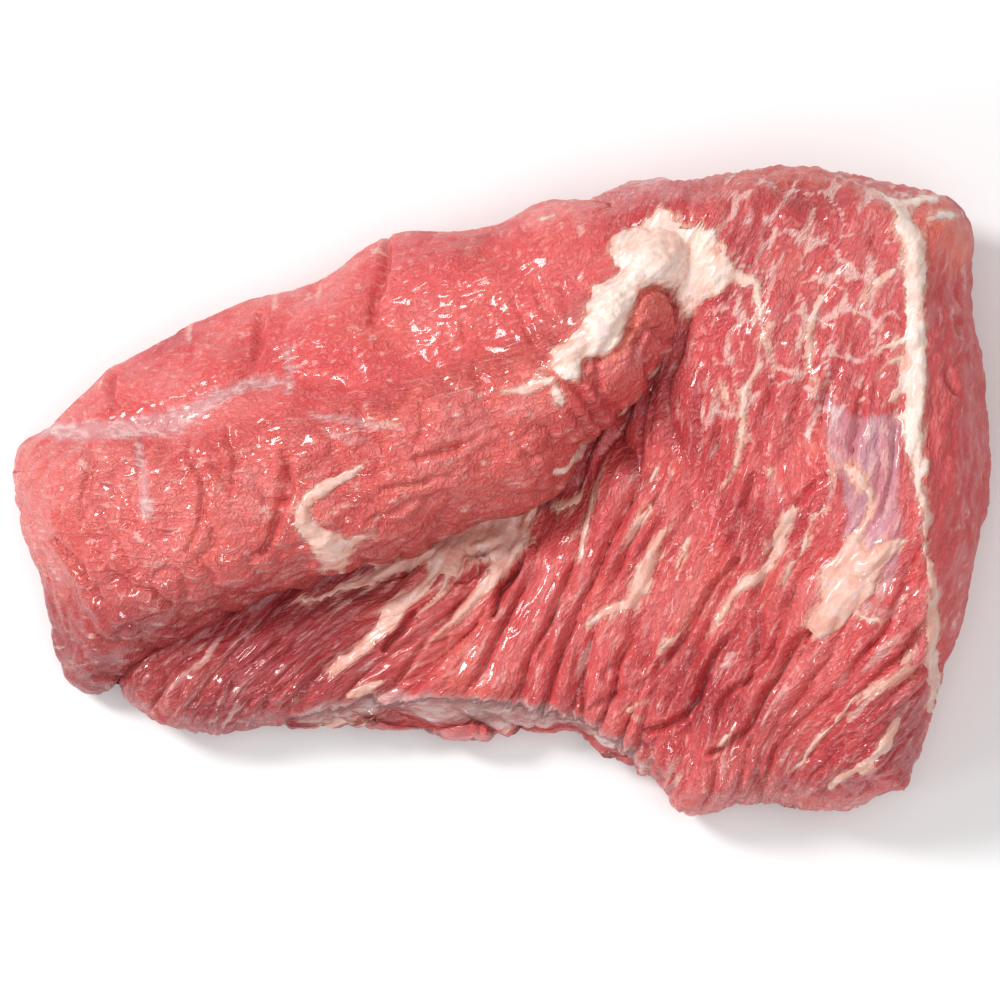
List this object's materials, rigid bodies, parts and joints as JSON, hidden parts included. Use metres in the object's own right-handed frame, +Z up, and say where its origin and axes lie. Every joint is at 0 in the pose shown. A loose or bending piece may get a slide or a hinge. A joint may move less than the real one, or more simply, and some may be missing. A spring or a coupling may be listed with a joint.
{
  "type": "raw tri-tip roast",
  "caption": "Raw, trimmed tri-tip beef roast: one thick, uneven piece of coarse-grained muscle with a flap folded over its thin half, seams of fat and a flat underside to rest on.",
  "frame": {"origin": "Middle of the roast's length and width, at the surface it lies on.", "axes": "+X along the length to the thick end, +Y along the width to the back, where the folded flap's cut slab is, +Z up from the surface it lies on."},
  "size_m": [0.2524, 0.166, 0.0624],
  "materials": {
    "lean": "wet raw beef, bright red, glossy with meat juice",
    "fat": "moist trimmed fat, cream to pale pink",
    "silverskin": "thin wet membrane, greyish lilac, glossy"
  },
  "bodies": {
    "root": {"roast": "lean"}
  },
  "joints": []
}
